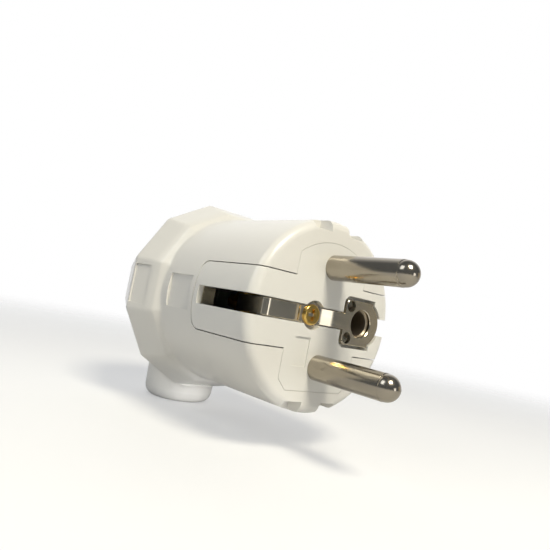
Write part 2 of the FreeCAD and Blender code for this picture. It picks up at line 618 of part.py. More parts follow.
# Terminal screws: three alike, one in each wire terminal.
term_steps = {
    "term_screw_line": ("dims.term_dia / 2", ("0", pin_sides[0])),
    "term_screw_neutral": ("dims.term_dia / 2", ("0", pin_sides[1])),
    "term_screw_earth": (lip_rad, ("dims.earth_offset", "0")),
}
term_screws = []
for screw_name, (seat, (across, up)) in term_steps.items():
    screw = turned(screw_name, [
        ("-(%s) - dims.term_head" % seat, "dims.term_head", "dims.term_head_dia"),
        ("-(%s)" % seat, "dims.term_screw_len", "dims.screw_dia"),
    ], towards_y)
    bind(screw, Placement__Base__x="-dims.term_screw_at", Placement__Base__y=across,
         Placement__Base__z=up)
    term_screws.append(screw)
group("terminal_screws", term_screws)

# Cover screw: brass, through the eye of the strip and both posts into the nut.
cover = turned("cover_screw", [
    (low, "dims.cover_head", "dims.cover_head_dia"),
    ("-dims.post_at - dims.nut_thick - dims.cover_past",
     "dims.post_at + dims.nut_thick + dims.cover_past + (%s)" % low, "dims.screw_dia"),
], towards_x)
cover.Label = "cover_screw"
bind(cover, Placement__Base__y="-dims.cover_at")

# Captive nut: brass hexagon sunk in the housing's screw post.
nut = body_named("captive_nut")
nut_outline = [
    ("dims.nut_flats / 2 / cos(30) * cos(%d)" % a, "dims.nut_flats / 2 / cos(30) * sin(%d)" % a)
    for a in range(0, 360, 60)
]
nut_drawn = sketch(nut, "nut_section", "YZ_Plane", [nut_outline],
                   rings=[("0", "0", "dims.screw_dia / 2")], offset="-dims.post_at")
feature(nut, "Pad", "nut_blank", nut_drawn, backwards=True, Length="dims.nut_thick")
bind(nut, Placement__Base__y="-dims.cover_at")

# Cord clamp: a bar over two posts with a rib that bites the cord.
clamp = body_named("cord_clamp")
bar_half = "dims.clamp_pitch / 2 + dims.clamp_post_dia / 2"
bar_plan = box_loop("-(%s)" % bar_half, bar_half, "-dims.clamp_z - dims.clamp_width / 2",
                    "-dims.clamp_z + dims.clamp_width / 2")
bar_rings = [(side, "-dims.clamp_z", "dims.screw_dia / 2 + dims.screw_play") for side in clamp_sides]
bar = sketch(clamp, "bar_section", "YZ_Plane", [bar_plan], rings=bar_rings,
             offset="-(%s)" % clamp_seat)
feature(clamp, "Pad", "bar", bar, Length="dims.clamp_thick")
rib_plan = box_loop("-dims.clamp_rib_len / 2", "dims.clamp_rib_len / 2",
                    "-dims.clamp_z - dims.clamp_rib", "-dims.clamp_z + dims.clamp_rib")
rib = sketch(clamp, "rib_section", "YZ_Plane", [rib_plan], offset="-(%s)" % clamp_seat)
feature(clamp, "Pad", "rib", rib, backwards=True, Length="dims.clamp_rib")

# Clamp screws: two alike, through the bar into the clamp posts.
clamp_screws = []
for screw_name, across in zip(("clamp_screw_right", "clamp_screw_left"), clamp_sides):
    screw = turned(screw_name, [
        ("dims.clamp_thick", "dims.clamp_head", "dims.clamp_head_dia"),
        ("dims.clamp_thick - dims.clamp_screw_len", "dims.clamp_screw_len", "dims.screw_dia"),
    ], towards_x)
    bind(screw, Placement__Base__x="-(%s)" % clamp_seat, Placement__Base__y=across,
         Placement__Base__z="-dims.clamp_z")
    clamp_screws.append(screw)
group("clamp_screws", clamp_screws)

doc.recompute()
NODES = ["housing", "pin_carrier", "line_pin", "neutral_pin", "earth_bridge", "earth_socket",
         "terminal_screws", "cover_screw", "captive_nut", "cord_clamp", "clamp_screws"]
failed = [o.Name for o in doc.Objects if "Invalid" in o.State or "Error" in o.State]
if failed:
    raise RuntimeError("not built: " + ", ".join(failed))
parts = [doc.getObjectsByLabel(node)[0] for node in NODES]
for part in parts:
    if part.Shape.isNull() or not part.Shape.isValid():
        raise RuntimeError(part.Label + " has no sound shape")
os.makedirs("parts", exist_ok=True)
for part in parts:
    part.Shape.exportStep("parts/%s.step" % part.Label)
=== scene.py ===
import bpy
import bmesh
import math
import numpy as np
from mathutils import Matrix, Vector


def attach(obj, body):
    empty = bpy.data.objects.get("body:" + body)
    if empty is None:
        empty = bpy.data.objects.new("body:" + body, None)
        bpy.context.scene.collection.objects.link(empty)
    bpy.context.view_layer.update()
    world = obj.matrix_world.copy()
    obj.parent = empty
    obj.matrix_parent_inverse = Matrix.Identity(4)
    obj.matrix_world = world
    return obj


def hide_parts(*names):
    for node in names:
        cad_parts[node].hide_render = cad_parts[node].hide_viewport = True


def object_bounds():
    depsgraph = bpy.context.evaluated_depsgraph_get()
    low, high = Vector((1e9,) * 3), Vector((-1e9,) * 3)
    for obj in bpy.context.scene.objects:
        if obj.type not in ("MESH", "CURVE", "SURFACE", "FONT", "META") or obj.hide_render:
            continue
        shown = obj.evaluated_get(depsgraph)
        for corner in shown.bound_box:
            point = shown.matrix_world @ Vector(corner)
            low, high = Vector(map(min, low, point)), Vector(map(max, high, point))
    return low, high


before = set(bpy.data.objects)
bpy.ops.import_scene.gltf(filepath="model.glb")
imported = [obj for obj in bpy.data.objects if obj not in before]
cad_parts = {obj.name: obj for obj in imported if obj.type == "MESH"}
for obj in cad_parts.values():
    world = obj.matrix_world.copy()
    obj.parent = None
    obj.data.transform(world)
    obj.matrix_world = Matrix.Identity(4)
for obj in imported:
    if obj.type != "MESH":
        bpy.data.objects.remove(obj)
cad_box = [list(corner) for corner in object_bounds()]
MM = 0.001


# Housing. One white injection moulding: a drafted barrel with a rounded rim,
# a twelve-sided grip that swells out behind it and a boss for the cord below.
# A cross-shaped mouth and two side windows take the insert.
def solid_of_rings(name, rings, closed_loop=False):
    """Closed mesh from rings of points in mm: quads join each ring to the next, and the
    two end rings are closed by a flat face, or joined to each other where the loop is closed."""
    count, steps = rings.shape[:2]
    here = np.arange(count if closed_loop else count - 1)[:, None] * steps
    there = (here + steps) % (count * steps)
    spot = np.arange(steps)[None, :]
    after = (spot + 1) % steps
    quads = np.stack([here + spot, here + after, there + after, there + spot], -1)
    faces = quads.reshape(-1, 4).tolist()
    if not closed_loop:
        faces += [list(range(steps))[::-1], list(range((count - 1) * steps, count * steps))]
    mesh = bpy.data.meshes.new(name)
    mesh.from_pydata((rings.reshape(-1, 3) * MM).tolist(), [], faces)
    weld_within = 1e-7
    shape = bmesh.new()
    shape.from_mesh(mesh)
    bmesh.ops.remove_doubles(shape, verts=shape.verts, dist=weld_within)
    bmesh.ops.recalc_face_normals(shape, faces=shape.faces)
    if shape.calc_volume(signed=True) < 0:
        bmesh.ops.reverse_faces(shape, faces=shape.faces)
    shape.to_mesh(mesh)
    shape.free()
    made = bpy.data.objects.new(name, mesh)
    bpy.context.collection.objects.link(made)
    return made


def turned(name, profile, place, axis, steps=96, closed_loop=False):
    """Lathe solid: each (along, radius) pair of the profile is a circle about an axis
    that runs through a place in mm."""
    turn = np.linspace(0, 2 * np.pi, steps, endpoint=False)
    along, radius = np.array(profile, float).T
    flat = np.stack([np.cos(turn), np.sin(turn)], -1)
    rings = np.zeros((len(along), steps, 3))
    others = [k for k in range(3) if k != axis]
    rings[..., axis] = along[:, None]
    rings[..., others] = radius[:, None, None] * flat
    return solid_of_rings(name, rings + np.array(place, float), closed_loop)


def prism(name, outline, axis, low, high):
    """Straight bar: a flat outline in the two other axes, carried from low to high in mm."""
    flat = np.array(outline, float)
    rings = np.zeros((2, len(flat), 3))
    others = [k for k in range(3) if k != axis]
    rings[..., others] = flat
    rings[0, :, axis], rings[1, :, axis] = low, high
    return solid_of_rings(name, rings)


def block(name, low, high):
    """Box between two corners in mm."""
    (x0, y0, z0), (x1, y1, z1) = low, high
    return prism(name, [(x0, y0), (x1, y0), (x1, y1), (x0, y1)], 2, z0, z1)


def carved(piece, tools, operation="DIFFERENCE"):
    """Cut (or join) the tool solids into a piece and throw the tools away."""
    for tool in tools:
        cut = piece.modifiers.new("cut", "BOOLEAN")
        cut.operation, cut.object, cut.solver = operation, tool, "EXACT"
        cut.use_self = operation == "UNION"
        evaluated = piece.evaluated_get(bpy.context.evaluated_depsgraph_get())
        mesh = bpy.data.meshes.new_from_object(evaluated)
        piece.modifiers.clear()
        spent = piece.data
        piece.data = mesh
        bpy.data.meshes.remove(spent)
        bpy.data.meshes.remove(tool.data)


def finished(piece, finish, nodes, edge_mm=0):
    """Smooth shading up to a crease angle, softened edges where a width is given, the
    material, the body and the CAD node."""
    crease, corner, edge_steps, face_weight = math.radians(32), math.radians(50), 2, 60
    if edge_mm:
        soft = piece.modifiers.new("soft_edges", "BEVEL")
        soft.width, soft.segments, soft.limit_method = edge_mm * MM, edge_steps, "ANGLE"
        soft.angle_limit, soft.harden_normals = corner, False
    piece.data.shade_smooth()
    piece.data.set_sharp_from_angle(angle=crease)
    even = piece.modifiers.new("even_shading", "WEIGHTED_NORMAL")
    even.weight, even.keep_sharp = face_weight, True
    piece.data.materials.clear()
    piece.data.materials.append(finish.material)
    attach(piece, "root")
    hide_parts(*nodes)


def eased(line, step, spread):
    """Polyline with its corners rounded: even points along it, averaged in a bell-shaped
    window that is cut off at four times its spread."""
    line = np.array(line, float)
    run = np.concatenate([[0], np.cumsum(np.hypot(*np.diff(line, axis=0).T))])
    at = np.linspace(0, run[-1], int(run[-1] / step) + 2)
    points = np.stack([np.interp(at, run, line[:, k]) for k in (0, 1)], 1)
    half = int(4 * spread / step) + 1
    bell = np.exp(-0.5 * (np.arange(-half, half + 1) * step / spread) ** 2)
    before = 2 * points[0] - points[half:0:-1]
    after = 2 * points[-1] - points[-2:-half - 2:-1]
    padded = np.concatenate([before, points, after])
    return np.stack([np.convolve(padded[:, k], bell / bell.sum(), "valid") for k in (0, 1)], 1)


class Wire:
    """A shader socket; arithmetic on it adds Math nodes to its material."""

    def __init__(self, finish, socket):
        self.finish, self.socket = finish, socket

    def math(self, operation, *values):
        return self.finish.node("ShaderNodeMath", {"operation": operation}, dict(enumerate(values)))

    def __add__(self, other):
        return self.math("ADD", self, other)

    def __mul__(self, other):
        return self.math("MULTIPLY", self, other)

    def __sub__(self, other):
        return self.math("SUBTRACT", self, other)

    def __rsub__(self, other):
        return self.math("SUBTRACT", other, self)

    __radd__ = __add__
    __rmul__ = __mul__

    def below(self, edge, soft):
        """One where the value is under an edge, fading to nought over a soft width."""
        return self.finish.node("ShaderNodeMapRange", {"interpolation_type": "SMOOTHSTEP"},
                                {"Value": self, "From Min": edge - soft, "From Max": edge + soft,
                                 "To Min": 1.0, "To Max": 0.0})


class Graph:
    """A node tree; any node comes from the node method."""

    def __init__(self, tree):
        self.tree = tree

    def node(self, kind, settings=None, sockets=None, out=0):
        """Add a node: its settings first, then the values or links of its sockets."""
        made = self.tree.nodes.new(kind)
        for key, value in (settings or {}).items():
            setattr(made, key, value)
        for key, value in (sockets or {}).items():
            self.join(made.inputs[key], value)
        return Wire(self, made.outputs[out])

    def join(self, target, value):
        """Link a wire to a socket, or set the socket's own value."""
        if isinstance(value, Wire):
            self.tree.links.new(value.socket, target)
        else:
            target.default_value = value

    def blend(self, factor, first, second):
        """Mix two colours by a factor; a Mix node's colours are its sockets 6 and 7, and 2 out."""
        return self.node("ShaderNodeMix", {"data_type": "RGBA"},
                         {"Factor": factor, 6: first, 7: second}, out=2)


class Finish(Graph):
    """A material with one shader, in object space."""

    def __init__(self, name, **values):
        self.material = bpy.data.materials.new(name)
        self.material.use_nodes = True
        super().__init__(self.material.node_tree)
        self.shader = self.tree.nodes["Principled BSDF"]
        self.feed(**values)
        self.place = self.node("ShaderNodeTexCoord", out="Object")

    def feed(self, **values):
        """Set or link the shader's own sockets; an underscore stands for a space."""
        for key, value in values.items():
            self.join(self.shader.inputs[key.replace("_", " ")], value)

    def noise(self, size_mm, detail=3.0, stretch=(1, 1, 1)):
        """Noise with features of about a size in mm, in object space."""
        scaled = self.node("ShaderNodeMapping", {}, {"Vector": self.place, "Scale": stretch})
        return self.node("ShaderNodeTexNoise", {}, {"Vector": scaled, "Scale": 1000.0 / size_mm,
                                                    "Detail": detail})

    def relief(self, height, depth_mm):
        """Bump of a height field, feeding the shader's normal."""
        bump = self.node("ShaderNodeBump", {}, {"Height": height, "Distance": depth_mm * MM})
        self.feed(Normal=bump)


def white_moulding(name, warm, cool):
    """Glossy off-white plastic: faint cloudy tone, uneven gloss and a fine moulded skin."""
    cloud_mm, gloss_mm, skin_mm, wave_mm = 9.0, 2.2, 0.7, 6.5
    gloss, gloss_swing, skin_share, relief_mm = 0.26, 0.14, 0.12, 0.035
    finish = Finish(name, IOR=1.5, Coat_Roughness=0.10, Coat_Weight=0.2)
    finish.feed(Base_Color=finish.blend(finish.noise(cloud_mm, detail=4.0), warm, cool),
                Roughness=gloss + finish.noise(gloss_mm, detail=5.0) * gloss_swing)
    skin = finish.noise(skin_mm, detail=2.0) * skin_share
    finish.relief(skin + finish.noise(wave_mm, detail=2.0), relief_mm)
    return finish


corner_power = 420
facet_turns = np.radians(np.arange(0, 360, 30))
flat_share = math.cos(math.radians(15))


def twelve_sided(turn):
    """Radius of a twelve-sided outline with soft corners, for a corner radius of one:
    a high power mean of the distances to its twelve flats."""
    lean = np.clip(np.cos(turn[:, None] - facet_turns), 0, None)
    return flat_share / (lean ** corner_power).sum(1) ** (1 / corner_power)


def softer_max(a, b, soft):
    """The larger of two radii, with a hollow fillet where they cross."""
    return (a + b + np.sqrt((a - b) ** 2 + soft ** 2)) / 2


face_rad, rim, waist_rad, waist_at, barrel_end = 18.3, 1.8, 18.5, 29.2, 27.2
shell_steps, boss_steps = 288, 120
around = np.linspace(0, 2 * np.pi, shell_steps, endpoint=False)
rise = np.radians(np.linspace(0, 90, 13))
depth = np.linspace(rim, barrel_end, 30)[1:]
barrel_x = np.concatenate([rim * (np.cos(rise) - 1), -depth])
barrel_r = np.concatenate([face_rad - rim + rim * np.sin(rise),
                           face_rad + (waist_rad - face_rad) * depth / waist_at])

# The grip's outline, as places along x and corner radii.
back_end, back_round, back_rad = -56.0, 1.6, 14.337
back_turn = np.radians(np.linspace(112.8, 180, 7))
back_arc = np.stack([back_end + back_round + back_round * np.cos(back_turn),
                     back_rad + back_round * np.sin(back_turn)], 1)
neck = [(-27.4, 15.6), (-29.2, 17.7), (-30.5, 18.8), (-31.7, 20.0)]
ridge = [(-33.3, 20.65), (-39.6, 22.3)]
grip_line = np.concatenate([neck, ridge, back_arc, [(back_end, 0.0)]])
join_at, waist_fade, fillet = -27.3, -36.0, 0.35
grip = eased(grip_line, step=0.25, spread=0.34)
grip = grip[grip[:, 0] < join_at]
waist = np.where(grip[:, 0] > waist_fade, waist_rad, 0.0)[:, None]
grip_r = grip[:, 1:] * twelve_sided(around)
grip_r = np.where(waist > 0, softer_max(waist, grip_r, fillet), grip_r)


def about_x(along, radius):
    """Rings about the x axis: a place along it for each ring, and a radius for each ring
    or for each of its points."""
    return np.stack([along[:, None] + 0 * around,
                     radius * np.cos(around), radius * np.sin(around)], -1)


shell_x = np.concatenate([barrel_x, grip[:, 0]])
shell_r = np.concatenate([barrel_r[:, None] + 0 * around, grip_r])
housing = solid_of_rings("housing_shell", about_x(shell_x, shell_r))

# The boss starts inside the grip's lower flats, flares a little at its front
# where it leaves them, and ends in a rounded mouth.
boss_x, boss_rad, boss_end, boss_round, inlet_rad = -47.1, 8.2, -26.0, 2.2, 4.0
boss_sink, boss_draft, ring_bias = 2.5, math.tan(math.radians(1.5)), 0.8
flare_mm, flare_run, tail_rad = 0.5, 0.7, 15.4
boss_turn = np.linspace(0, 2 * np.pi, boss_steps, endpoint=False)
boss_plan = np.stack([boss_x + boss_rad * np.cos(boss_turn), boss_rad * np.sin(boss_turn)], -1)
grip_x, grip_rad = np.array([*ridge, (back_end, tail_rad)]).T
under = np.interp(-boss_plan[:, 0], -grip_x, grip_rad) * flat_share
lean = np.radians([0, 30, 60])
root = -((under[:, None] - np.abs(boss_plan[:, 1:]) * np.sin(lean)) / np.cos(lean)).min(1)
drop = np.linspace(0, 1, 25)[:, None] ** ring_bias
side_z = (root + boss_sink) + (boss_end + boss_round - root - boss_sink) * drop
flare = flare_mm * (1 + np.cos(boss_turn)) * np.exp(-np.abs(root - side_z) / flare_run)
side_r = boss_rad + boss_draft * (side_z - boss_end) + flare
bend = np.radians(np.linspace(0, 90, 9))[1:, None]
mouth_z = boss_end + boss_round - boss_round * np.sin(bend) + 0 * boss_turn
mouth_r = boss_rad - boss_round + boss_round * np.cos(bend) + 0 * boss_turn
boss_z, boss_r = np.concatenate([side_z, mouth_z]), np.concatenate([side_r, mouth_r])
boss_rings = np.stack([boss_x + boss_r * np.cos(boss_turn), boss_r * np.sin(boss_turn), boss_z], -1)
carved(housing, [solid_of_rings("cord_boss", boss_rings)], "UNION")

# The openings for the insert. Tools start clear of the face and run beyond the sides.
seam, tight, band_half, band_end, band_cut = 0.2, 0.06, 8.95, 14.0, 2.0
tongue_half, tongue_end, tongue_round = 6.55, -18.0, 1.8
clear, beyond = 2.0, 30.0


def band_outline(half, end, cut):
    """Upright bar with an arched top and cut lower corners: the arch is a circle about the
    middle, the rest are straight lines."""
    spring = math.asin(half / end)
    arch = np.linspace(spring, -spring, 49)
    foot = [(-half, cut - end), (cut - half, -end), (half - cut, -end), (half, cut - end)]
    return np.concatenate([foot, end * np.stack([np.sin(arch), np.cos(arch)], 1)])


def tongue_outline(half, end, round_off):
    """Bar with two rounded rear corners: quarter circles between straight lines."""
    nook = np.radians(np.linspace(0, 90, 13))
    upper = np.stack([end + round_off * (1 - np.sin(nook)),
                      half - round_off * (1 - np.cos(nook))], 1)
    return np.concatenate([[(clear, -half), (clear, half)], upper, upper[::-1] * (1, -1)])


mouth_end, room_end, room_front, room_half = -51.3, -51.2, -10.0, 15.2
mouth = band_outline(band_half + tight, band_end + tight, band_cut)
window = tongue_outline(tongue_half + seam, tongue_end - seam, tongue_round)
tools = [prism("mouth_cut", mouth, 0, mouth_end, clear),
         prism("window_cut", window, 1, -beyond, beyond),
         block("room_cut", (room_end, -room_half, -tongue_half),
               (room_front, room_half, tongue_half))]

guide_near, guide_far, guide_low, guide_high, guide_deep = 2.3, 6.4, 16.0, 20.0, 3.6
for side in (1, -1):
    y_low, y_high = sorted((guide_near * side, guide_far * side))
    for end in (1, -1):
        z_low, z_high = sorted((guide_low * end, guide_high * end))
        tools.append(block("guide_cut", (-guide_deep, y_low, z_low), (clear, y_high, z_high)))

panel_back, panel_front, panel_half, panel_out, panel_floor = -28.2, -19.6, 3.4, -24.0, -17.92
tools.append(block("side_panel_cut", (panel_back, panel_out, -panel_half),
                   (panel_front, panel_floor, panel_half)))

facet_front, facet_back, facet_half, facet_sink, facet_out = -34.2, -39.2, 4.3, 0.3, 3.0
facet_x = np.array([facet_front, facet_back, facet_back, facet_front])
facet_y = -np.interp(-facet_x, -grip_x, grip_rad) * flat_share
facet_ring = np.stack([facet_x, facet_y, facet_half * np.array([-1, -1, 1, 1])], -1)
facet_rings = np.stack([facet_ring + (0, facet_sink, 0), facet_ring - (0, facet_out, 0)])
tools.append(solid_of_rings("grip_panel_cut", facet_rings))

inlet_low, inlet_high, soft_edge = -28.0, -13.0, 0.15
inlet_line = [(inlet_low, inlet_rad), (inlet_high, inlet_rad)]
tools.append(turned("inlet_cut", inlet_line, (boss_x, 0, 0), 2))
carved(housing, tools)
housing_white = white_moulding("housing_white", (0.80, 0.785, 0.745, 1), (0.775, 0.76, 0.725, 1))
finished(housing, housing_white, ["housing"], edge_mm=soft_edge)


# Insert. The cross-shaped white moulding that carries the contacts: its front
# plate fills the middle of the face and its two tongues close the side windows
# of the housing. It is hollow behind the plate and held by one brass screw.
plate_thick, insert_wall, tongue_wall, slot_half, slot_end = 3.2, 1.2, 3.0, 1.75, -16.6
earth_y, screw_y, relief_y, relief_z = 10.0, -3.1, 6.6, 3.1
plate_near, plate_far, plate_half, bulge_y, bulge_rad = 5.25, 12.85, 4.45, 11.0, 4.2


def plate_outline(grow, round_off):
    """Outline of the plate round the earth socket: a bar with two rounded corners and, on its
    far side, an arc of a circle that bulges out; all of it grown by a gap."""
    near, far = plate_near - grow, plate_far + grow
    half, bulge = plate_half + grow, bulge_rad + grow
    nook = np.radians(np.linspace(0, 90, 9))
    corner = np.stack([near + round_off * (1 - np.sin(nook)),
                       half - round_off * (1 - np.cos(nook))], 1)
    spread = math.acos((far - bulge_y) / bulge)
    swell = np.linspace(-spread, spread, 41)
    arc = np.stack([bulge_y + bulge * np.cos(swell), bulge * np.sin(swell)], 1)
    return np.concatenate([[(far, half)], corner, corner[::-1] * (1, -1), [(far, -half)], arc])


band_short, band_front = 0.1, 1.0
band = band_outline(band_half, band_end, band_cut)
insert = prism("insert", band, 0, tongue_end + band_short, band_front)
tongue = tongue_outline(tongue_half, tongue_end, tongue_round)
carved(insert, [prism("tongues", tongue, 1, -beyond, beyond)], "UNION")
core_x, core_r = np.append(barrel_x, -waist_at), np.append(barrel_r, waist_rad)[:, None]
carved(insert, [solid_of_rings("barrel_core", about_x(core_x, core_r))], "INTERSECT")

hollow = band_outline(band_half - insert_wall, band_end - insert_wall, band_cut)
arm_reach, arm_half, arm_short = face_rad - tongue_wall, tongue_half - insert_wall, 0.05
arm_low = (-beyond, -arm_reach, -arm_half)
arm_high = (-plate_thick - arm_short, arm_reach, arm_half)

# One groove for the left slot, the strip and its eye, as (x, y) points.
strip_floor, eye_floor = -0.9, -1.7
slot_near, eye_near, eye_far, groove_end = -9.8, -7.15, 2.9, 5.3
groove = [(clear, -beyond), (slot_end, -beyond), (slot_end, slot_near), (strip_floor, slot_near),
          (strip_floor, eye_near), (eye_floor, eye_near), (eye_floor, eye_far),
          (strip_floor, eye_far), (strip_floor, groove_end), (clear, groove_end)]

# The other cuts in the plate end at different heights, so that no two share a plane.
eye_low, eye_top, eye_room = -1.71, 1.4, 2.75
gap_low, gap_top, gap_wide, gap_round, gap_shift = -2.4, 1.3, 0.6, 1.5, 0.25
well_low, well_top, well_rad, small_steps = -29.0, 0.9, 1.8, 40
tube_top, tube_room, slot_far, slot_top = 1.2, 3.35, 13.5, 1.1
face_panel_low, face_panel_high = (-0.3, -6.45, -9.6), (1.0, -2.95, -4.2)
gap = plate_outline(gap_wide, gap_round) - (gap_shift, 0)
well_line = [(well_low, well_rad), (well_top, well_rad)]
eye_line = [(eye_low, eye_room), (eye_top, eye_room)]
tube_hole = [(-beyond, tube_room), (tube_top, tube_room)]
carved(insert, [
    prism("hollow_cut", hollow, 0, -beyond, -plate_thick),
    block("arm_cut", arm_low, arm_high),
    prism("groove_cut", groove, 2, -slot_half, slot_half),
    turned("eye_cut", eye_line, (0, screw_y, 0), 0),
    prism("plate_cut", gap, 0, gap_low, gap_top),
    turned("upper_well_cut", well_line, (0, relief_y, relief_z), 0, small_steps),
    turned("lower_well_cut", well_line, (0, relief_y, -relief_z), 0, small_steps),
    turned("socket_cut", tube_hole, (0, earth_y, 0), 0),
    block("right_slot_cut", (slot_end, slot_far, -slot_half), (slot_top, beyond, slot_half)),
    block("face_panel_cut", face_panel_low, face_panel_high)])
insert_white = white_moulding("insert_white", (0.80, 0.79, 0.755, 1), (0.78, 0.77, 0.735, 1))
finished(insert, insert_white, ["pin_carrier"], edge_mm=soft_edge)


# Pins. Two turned brass bars with a bright nickel plate, domed at the tip, with
# a fine turned groove where the dome starts. Behind the face each has a neck
# and a thicker terminal that sits in a collar of the insert.
def plated(name, light, dark, gloss, grain=(1, 1, 1)):
    """Plated metal: faint tone clouds, uneven gloss and fine drawn lines along its grain."""
    cloud_mm, gloss_mm, line_mm, gloss_swing, relief_mm = 3.0, 1.2, 0.35, 0.1, 0.003
    finish = Finish(name, Metallic=1.0)
    finish.feed(Base_Color=finish.blend(finish.noise(cloud_mm, detail=4.0), light, dark),
                Roughness=gloss + finish.noise(gloss_mm, 5.0, grain) * gloss_swing)
    finish.relief(finish.noise(line_mm, 3.0, grain), relief_mm)
    return finish


pin_rad, neck_rad, pin_reach, dome_rad, pin_high = 2.4, 2.2, 19.0, 2.33, 9.5
term_rad, term_back, term_front, term_edge, face_step = 3.2, -27.0, -7.0, 0.15, 0.02
dome_x = pin_reach - dome_rad
swing = np.radians(np.linspace(0, 90, 17))[:-1]
terminal_line = [(term_back, term_rad - term_edge), (term_back + term_edge, term_rad),
                 (term_front - term_edge, term_rad), (term_front, term_rad - term_edge)]
shank_line = [(term_front, neck_rad), (-face_step, neck_rad), (0.0, pin_rad)]
groove_line = np.array([(-0.42, 0.0), (-0.34, -0.06), (-0.26, -0.1), (-0.16, -0.08)])
groove_line += (dome_x, pin_rad)
dome_line = np.stack([dome_x + dome_rad * np.sin(swing), dome_rad * np.cos(swing)], 1)
pin_line = np.concatenate([terminal_line, shank_line, groove_line, dome_line])
nickel = plated("bright_nickel", (0.44, 0.40, 0.335, 1), (0.35, 0.315, 0.26, 1), gloss=0.14,
                grain=(0.06, 1, 1))
for node, high in (("line_pin", pin_high), ("neutral_pin", -pin_high)):
    pin = turned(node + "_bar", pin_line, (0, 0, high), 0)
    finished(pin, nickel, [node])

# Earth bridge. One strip of nickel-plated spring brass, bent over the face and
# held by the cover screw where it steps down: its folded ends are the side
# contacts, with a small stop each, and a stamped plate rings the earth socket.
strip_half, strip_thick, strip_edge = 1.6, 0.8, 0.12
strip_x, eye_x, tip_x = -0.5, -1.3, -14.0
strip_line = eased([(-10.3, tip_x), (-14.3, strip_x), (-7.0, strip_x), (-6.4, eye_x), (-0.7, eye_x),
                    (2.2, strip_x), (14.3, strip_x), (14.0, tip_x)], step=0.15, spread=0.45)
way = np.gradient(strip_line, axis=0)
way /= np.hypot(*way.T)[:, None]
normal = np.stack([way[:, 1], -way[:, 0]], 1)
corner = np.array([(strip_thick / 2 - strip_edge, strip_half),
                   (strip_thick / 2, strip_half - strip_edge)])
section = np.concatenate([corner, corner[::-1] * (1, -1), -corner, corner[::-1] * (-1, 1)])
spots = strip_line[:, None, :] + section[None, :, :1] * normal[:, None, :]
strip_rings = np.stack([spots[..., 1], spots[..., 0], section[:, 1] + 0 * spots[..., 0]], -1)
bridge = solid_of_rings("earth_strip", strip_rings)

# The plate's levels in x, each with the share of the outline's size it has there.
plate_round, plate_mid = 1.05, np.array([9.2, 0.0])
level_x, level_share = np.array([(-0.93, 1.0), (-0.19, 1.0), (-0.085, 0.975)]).T[..., None, None]
plate_flat = plate_mid + (plate_outline(0, plate_round) - plate_mid) * level_share
plate_rings = np.concatenate([level_x + 0 * plate_flat[..., :1], plate_flat], -1)
plate = solid_of_rings("earth_plate", plate_rings)
eye_sides, eye_rad, eye_ease, eye_base, eye_side, eye_crown = 12, 2.6, 0.1, -1.73, -0.98, -0.88
eye_rise = [(eye_base, eye_rad), (eye_side, eye_rad), (eye_crown, eye_rad - eye_ease)]
eye = turned("strip_eye", eye_rise, (0, screw_y, 0), 0, eye_sides)
stop_sunk, stop_shown, stop_near, stop_far = 0.3, 0.35, 14.7, 17.3
stop_back, stop_front = slot_end - stop_sunk, slot_end + stop_shown
left_stop = block("left_stop", (stop_back, -stop_far, -strip_half),
                  (stop_front, -stop_near, strip_half))
right_stop = block("right_stop", (stop_back, stop_near, -strip_half),
                   (stop_front, stop_far, strip_half))
carved(bridge, [plate, eye, left_stop, right_stop], "UNION")

relief_rad, hole_low, hole_top = 1.12, -2.0, 1.0
bore_rad, bore_mouth, bend_low, bend_top = 2.75, 2.9, -0.24, -0.08
relief_line = [(hole_low, relief_rad), (hole_top, relief_rad)]
bore_line = [(hole_low, bore_rad), (bend_low, bore_rad), (bend_top, bore_mouth),
             (hole_top, bore_mouth)]
holes = [turned("relief_cut", relief_line, (0, relief_y, z), 0, small_steps)
         for z in (relief_z, -relief_z)]
holes.append(turned("bore_cut", bore_line, (0, earth_y, 0), 0))
carved(bridge, holes)
satin = plated("satin_nickel", (0.64, 0.585, 0.48, 1), (0.54, 0.49, 0.39, 1), gloss=0.16,
               grain=(1, 0.1, 1))
finished(bridge, satin, ["earth_bridge"])

# Earth socket. A turned brass tube with a nickel plate that takes the earth pin
# of pinned outlets. It sits in a collar of the insert, with its mouth behind
# the plate.
tube_mouth, lip_end, tube_neck, tube_end, bore_end, wire_end = -0.9, -1.1, -7.0, -27.0, -17.0, -19.0
inner_rad, lip_rad, mouth_rad, body_rad, wire_rad, vent_rad = 2.45, 2.6, 3.3, 3.5, 1.5, 0.4
tube_line = [(bore_end, inner_rad), (lip_end, inner_rad), (tube_mouth, lip_rad),
             (tube_mouth, mouth_rad), (tube_neck, mouth_rad), (tube_neck, body_rad),
             (tube_end, body_rad), (tube_end, wire_rad), (wire_end, wire_rad),
             (wire_end, vent_rad), (bore_end, vent_rad)]
socket = turned("earth_tube", tube_line, (0, earth_y, 0), 0, closed_loop=True)
tube_nickel = plated("tube_nickel", (0.58, 0.51, 0.42, 1), (0.45, 0.385, 0.30, 1), gloss=0.36)
finished(socket, tube_nickel, ["earth_socket"])

